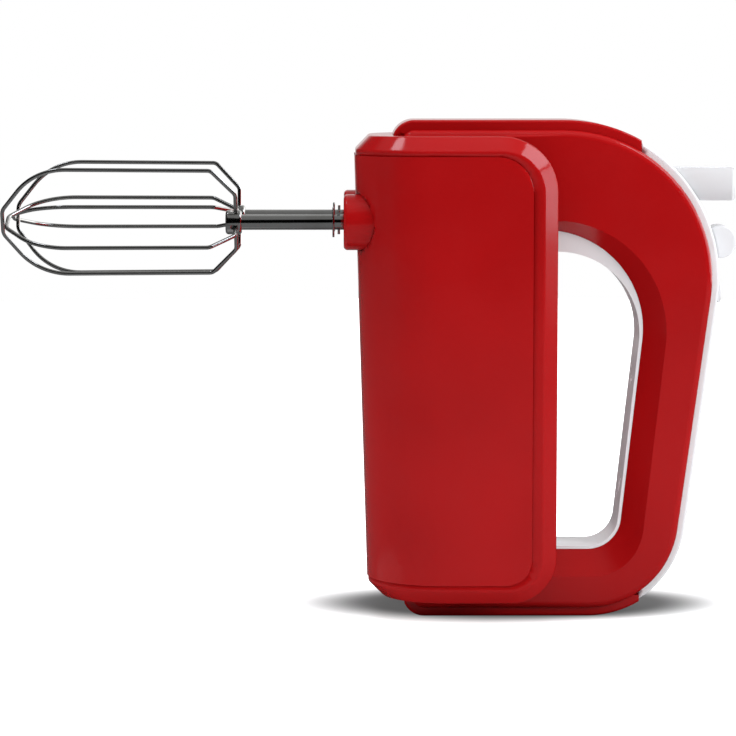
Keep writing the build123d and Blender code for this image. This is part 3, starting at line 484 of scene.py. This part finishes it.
def merge_handle_sides(shell):
    """Makes one face of each flat side of the handle, on a shell that is in edit mode."""
    bpy.ops.mesh.select_mode(type="FACE")
    bpy.ops.mesh.select_all(action="DESELECT")
    bpy.ops.object.mode_set(mode="OBJECT")
    for face in shell.data.polygons:
        looks_across = abs(face.normal.y) > least_across
        on_side = abs(abs(face.center.y) - handle_half_width) < place_slack
        face.select = looks_across and on_side
    bpy.ops.object.mode_set(mode="EDIT")
    bpy.ops.mesh.dissolve_limited(angle_limit=flat_within)


print("pieces with flat sides", sorted(flat_sided))

# %% [markdown]
# ## Smooth forms
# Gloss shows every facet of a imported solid. More triangles would make the facets smaller and the
# file heavier, so the shading is smoothed instead. Each piece that the eye reaches is copied, its
# doubles are merged, it is shaded smooth up to a chosen angle, and weighted normals keep its broad
# flats truly flat beside their small rounds. The angle is low on the shells, whose bevels meet their
# flats at a shallow edge, and high on round wire. The copy rides on the same body as its solid and
# stands in for it.

# %% Helper that copies and smooths a solid
groups = frame["record"]["behaviour"]["bodies"]
body_of_node = {name: body for body, members in groups.items() for name in members}
merge_distance = 0.000002


def smooth_copy(name, angle):
    """A merged copy of a solid, smooth up to an angle in degrees, that takes the solid's place."""
    solid = nodes[name]
    copy = solid.copy()
    copy.data = solid.data.copy()
    copy.name = name + "_smooth"
    copy.parent = None
    copy.matrix_world = Matrix.Identity(4)
    bpy.context.collection.objects.link(copy)
    bpy.ops.object.select_all(action="DESELECT")
    copy.select_set(True)
    bpy.context.view_layer.objects.active = copy
    bpy.ops.object.mode_set(mode="EDIT")
    bpy.ops.mesh.select_all(action="SELECT")
    bpy.ops.mesh.remove_doubles(threshold=merge_distance)
    if name in flat_sided:
        merge_handle_sides(copy)
    bpy.ops.object.mode_set(mode="OBJECT")
    bpy.ops.object.shade_smooth_by_angle(angle=radians(angle))
    even = copy.modifiers.new("even_normals", "WEIGHTED_NORMAL")
    even.keep_sharp = True
    even.weight = 100
    bpy.ops.object.modifier_apply(modifier=even.name)
    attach(copy, body_of_node[name])
    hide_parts(name)
    return copy


# %% Smooth what shows
smooth_up_to = {
    "left_shell": 20,
    "right_shell": 20,
    "left_side_cover": 32,
    "right_side_cover": 32,
    "nose_band": 32,
    "heel_band": 32,
    "control_strip": 32,
    "grip_liner": 32,
    "eject_button": 40,
    "speed_knob": 40,
    "turbo_button": 40,
    "cord_grommet": 40,
    "housing_screws": 40,
    "left_beater_shaft": 40,
    "right_beater_shaft": 40,
    "left_beater_wires": 60,
    "right_beater_wires": 60,
    "left_spindle": 40,
    "right_spindle": 40,
}
smooth = [smooth_copy(name, angle) for name, angle in smooth_up_to.items()]
print("smoothed", len(smooth), "pieces")

# %% [markdown]
# ## Springs
# Two springs push back the eject button and the turbo key. A real one sits on the housing at one end
# and gets shorter as its button goes in. Moved with the button as a rigid piece, it would be driven
# into its seat. So the copy stays with the housing, with a mesh of its own.

# %% Two springs on the housing
coil_angle = 60


def closing_spring(name):
    """A smooth copy of a spring that stays with the housing, with a mesh of its own."""
    spring = smooth_copy(name, coil_angle)
    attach(spring, "root")
    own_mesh(spring)


closing_spring("eject_spring")
closing_spring("turbo_spring")

# %% [markdown]
# ## Marks for the speed slider
# Beside the slider's slot the real strip has small raised bars, so that a thumb can feel the speeds.
# One bar is a cube scaled to a thin slab and bevelled, each a little longer than the last, and they
# stand in a row round the handle's shoulder. A printed scale would be simpler, but bars are clearer
# to the thumb and need no lettering.

# %% Where the bars stand
handle_back = 0.0832
handle_top = 0.194
shoulder_radius = 0.059
back_lean = radians(7.6)
shoulder_x = handle_back - shoulder_radius * (1 + sin(back_lean)) / cos(back_lean)
shoulder_z = handle_top - shoulder_radius
strip_face = 0.0622
bar_lift = 0.0001
bar_reach = strip_face + bar_lift
bar_side = 0.0097
first_bar = 12.9
bar_spacing = 1.6
print("bars stand", bar_reach, "from", shoulder_x, shoulder_z)

# %% Raised bars beside the slider
bar_count = 6
bar_height = 0.0008
bar_length = 0.0016
bar_growth = 0.0002
bar_width = 0.0006
bar_bevel = 0.00015
bar_angle = 50
bars = []
for number in range(bar_count):
    angle = radians(first_bar - bar_spacing * number)
    bpy.ops.object.select_all(action="DESELECT")
    bpy.ops.mesh.primitive_cube_add(size=1.0, location=(0, 0, 0))
    bar = bpy.context.object
    bar.name = "speed_bar_" + str(number)
    bpy.ops.object.mode_set(mode="EDIT")
    bpy.ops.mesh.select_all(action="SELECT")
    bpy.ops.transform.resize(value=(bar_height, bar_length + bar_growth * number, bar_width))
    bpy.ops.mesh.bevel(offset=bar_bevel, segments=2, affect="EDGES")
    bpy.ops.object.mode_set(mode="OBJECT")
    bpy.ops.object.shade_smooth_by_angle(angle=radians(bar_angle))
    bar.location = (shoulder_x + bar_reach * cos(angle), bar_side, shoulder_z + bar_reach * sin(angle))
    bar.rotation_euler = (0, -angle, 0)
    bpy.ops.object.transform_apply(location=True, rotation=True, scale=True)
    bar.data.materials.append(finish["white_rubber"])
    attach(bar, "root")
    bars.append(bar)
print("raised bars", len(bars))

# %% [markdown]
# ## Floor
# The mixer stands on a plain white floor that melts into a white background. A floor of one colour
# would show a horizon and a grey cast. This one carries a painted shadow: its colour is dark under
# the foot, over the soft shadow that the lamps cast there, turns matt white around it, and glows up
# to plain white further out, for the camera only. Mirror rays find it dark, which keeps the red deep,
# except for a faint glowing patch below the beaters, painted light seen only in mirrors, that
# brightens their undersides.

# %% Floor shape
floor_radius = 1.6
bpy.ops.object.select_all(action="DESELECT")
bpy.ops.mesh.primitive_circle_add(
    vertices=96, radius=floor_radius, fill_type="NGON", location=(0, 0, 0)
)
floor = bpy.context.object
floor.name = "floor"
floor_paint, tree, shader = start_material("floor")
floor.data.materials.append(floor_paint)
print("floor radius", floor_radius)

# %% [markdown]
# ## Patches on the floor
# A patch is an oval around a point. A Mapping node moves that point to the centre and scales the
# oval to a circle of radius 1, and then the length of the vector says how far out a place is. A
# painted picture could do the same, but this stays sharp at any size and needs no file.

# %% Ovals on the floor
def from_oval(tree, middle, half_size):
    """How far a place is from an oval's middle, where the oval's own edge lies at 1."""
    place = add_node(tree, "ShaderNodeTexCoord", {}).outputs["Object"]
    scale = [1 / half for half in half_size]
    shift = [-at / half for at, half in zip(middle, half_size)]
    oval = {"Vector": place, "Location": shift + [0.0], "Scale": scale + [0.0]}
    centred = add_node(tree, "ShaderNodeMapping", oval).outputs["Vector"]
    length = add_node(tree, "ShaderNodeVectorMath", {0: centred}, operation="LENGTH")
    return length.outputs["Value"]


foot_middle, foot_half_size = (-0.0019, 0.0162), (0.0952, 0.0476)
beaters_middle, beaters_half_size = (-0.16, -0.03125), (0.05, 0.0625)
from_foot = from_oval(tree, foot_middle, foot_half_size)
from_beaters = from_oval(tree, beaters_middle, beaters_half_size)
print("ovals around", foot_middle, "and", beaters_middle)

# %% Floor paint
ray = add_node(tree, "ShaderNodeLightPath", {}).outputs
# The camera's glow stays low under the foot, so that the painted shadow shows there.
glow = ramp(tree, from_foot, 0.6, 1.15, 0.1, 1.0, "SMOOTHSTEP")
# Painted light: a faint patch below the beaters glows for mirror rays only, to brighten the chrome's
# undersides.
beater_mirror_glow = ramp(tree, from_beaters, 0.7, 1.1, 0.15, 0.0, "SMOOTHSTEP")
for_camera = combine(tree, "MULTIPLY", ray["Is Camera Ray"], glow)
for_mirror = combine(tree, "MULTIPLY", ray["Is Glossy Ray"], beater_mirror_glow)
shining = combine(tree, "ADD", for_mirror, for_camera)
tree.links.new(shining, shader.inputs["Emission Strength"])

paleness = ramp(tree, ray["Is Glossy Ray"], 0.0, 1.0, 0.85, 0.1)
# Painted shadow: the floor's colour falls to 0.08 under the foot, darker than the lamps make it.
painted_foot_shadow = ramp(tree, from_foot, 0.6, 1.2, 0.08, 1.0, "SMOOTHSTEP")
tree.links.new(combine(tree, "MULTIPLY", paleness, painted_foot_shadow), shader.inputs["Base Color"])
shader.inputs["Emission Color"].default_value = (1, 1, 1, 1)
shader.inputs["Roughness"].default_value = 0.9
shader.inputs["Specular IOR Level"].default_value = 0.0
print("floor nodes", len(tree.nodes))

# %% [markdown]
# ## Room
# The world is the studio's walls. A picture of a real studio could light the mixer, but ramps along
# the three axes need no file and each wall can be set by itself. The camera sees plain white. Mirror
# rays see a pale wall behind that brightens to the right, darkness in front and to the left, and a
# dim ceiling, which gives chrome its dark middle line. All other rays get a soft light from above
# and behind, and a narrow bright window at the far left.

# %% World
world = bpy.data.worlds.new("studio")
bpy.context.scene.world = world
world.use_nodes = True
tree = world.node_tree
looking = add_node(tree, "ShaderNodeTexCoord", {}).outputs["Generated"]
axes = add_node(tree, "ShaderNodeSeparateXYZ", {"Vector": looking}).outputs
rightwards, backwards, upwards = axes["X"], axes["Y"], axes["Z"]
print("world", world.name)

# %% What mirrors see
back_wall = ramp(tree, backwards, -0.1, 0.45, 0.0, 0.75, "SMOOTHSTEP")
wall_top = ramp(tree, upwards, 0.3, 0.9, 1.0, 0.1, "SMOOTHSTEP")
left_dark = ramp(tree, rightwards, -0.4, -0.1, 0.05, 1.0, "SMOOTHSTEP")
right_bright = ramp(tree, rightwards, 0.2, 0.7, 1.0, 3.0, "SMOOTHSTEP")
ceiling = ramp(tree, upwards, 0.6, 0.75, 0.0, 0.17, "SMOOTHSTEP")
sides = combine(tree, "MULTIPLY", left_dark, right_bright)
walls = combine(tree, "MULTIPLY", combine(tree, "MULTIPLY", back_wall, wall_top), sides)
mirror_room = combine(tree, "ADD", walls, ceiling)
print("mirror room made, nodes so far", len(tree.nodes))

# %% What lights the mixer
from_left = ramp(tree, rightwards, -0.96, -0.78, 2.2, 0.0, "SMOOTHSTEP")
from_behind = ramp(tree, backwards, 0.2, 0.8, 0.0, 0.3, "SMOOTHSTEP")
from_above = ramp(tree, upwards, 0.3, 0.95, 0.15, 1.0, "SMOOTHSTEP")
soft_room = combine(tree, "ADD", combine(tree, "ADD", from_left, from_behind), from_above)
print("soft room made, nodes so far", len(tree.nodes))

# %% Which ray sees what
ray = add_node(tree, "ShaderNodeLightPath", {}).outputs
unseen = blend(tree, "FLOAT", ray["Is Glossy Ray"], soft_room, mirror_room)
seen = blend(tree, "FLOAT", ray["Is Camera Ray"], unseen, 1.0)
background = tree.nodes["Background"]
background.inputs["Color"].default_value = (1, 1, 1, 1)
tree.links.new(seen, background.inputs["Strength"])
print("world nodes", len(tree.nodes))

# %% [markdown]
# ## Lamps
# Five rectangular lamps do what the soft boxes of a studio do. A broad one above and a stronger
# key from the front right light the red evenly. Both are kept out of reflections, because
# the broad flat of the housing would mirror them as grey veils. Three small panels are there to be
# mirrored: one at the right for the long back bevel, one high at the right for the rounded upper
# corner, and one high at the left for the front end of the top bevel. They stand where the flat
# can't mirror them towards the camera, so it stays clean.

# %% Soft boxes
def softbox(name, at, target, size, power, tone):
    """A rectangular area lamp that looks at a point."""
    data = bpy.data.lights.new(name, "AREA")
    data.shape = "RECTANGLE"
    data.size, data.size_y = size
    data.energy = power
    data.color = tone
    lamp = bpy.data.objects.new(name, data)
    bpy.context.collection.objects.link(lamp)
    lamp.location = at
    lamp.rotation_euler = (Vector(target) - Vector(at)).to_track_quat("-Z", "Y").to_euler()
    return lamp


cool = (0.88, 0.92, 1.0)
white = (1.0, 1.0, 1.0)
body_middle = (0, 0, 0.1)
broad = [
    softbox("top_box", (-0.1, -0.15, 1.2), body_middle, (0.8, 0.5), 7.5, cool),
    softbox("key_box", (1.1, -0.9, 0.7), body_middle, (0.45, 0.8), 13.0, white),
]
for lamp in broad:
    lamp.visible_glossy = False
softbox("side_panel", (0.6, -0.045, 0.29), (0.0, -0.045, 0.2), (0.16, 0.34), 0.32, cool)
softbox("corner_panel", (0.5, -0.02, 0.68), (0.0, -0.04, 0.19), (0.2, 0.4), 0.85, cool)
softbox("left_panel", (-0.5, 0.13, 1.1), (-0.05, -0.04, 0.19), (0.2, 0.15), 0.4, cool)

# %% [markdown]
# ## Camera
# The camera looks a little down, almost square to the mixer's side, from 1.25 m. It could be placed
# by eye. Here it goes round a target by two angles, and its lens is worked out from the width that
# it has to see, so that the angle, the distance and the framing can each be set by itself.

# %% Camera
elevation = radians(5.8)
yaw = radians(0.3)
distance = 1.25
seen_width = 0.2957248
target = Vector((-0.0615, 0, 0.0983))
data = bpy.data.cameras.new("camera")
data.sensor_width = 36
data.lens = distance / seen_width * data.sensor_width
camera = bpy.data.objects.new("camera", data)
bpy.context.collection.objects.link(camera)
outwards = Vector((-sin(yaw) * cos(elevation), -cos(yaw) * cos(elevation), sin(elevation)))
camera.location = target + outwards * distance
camera.rotation_euler = (-outwards).to_track_quat("-Z", "Y").to_euler()
bpy.context.scene.camera = camera
bpy.context.scene.view_settings.view_transform = "Standard"
print("lens", data.lens)
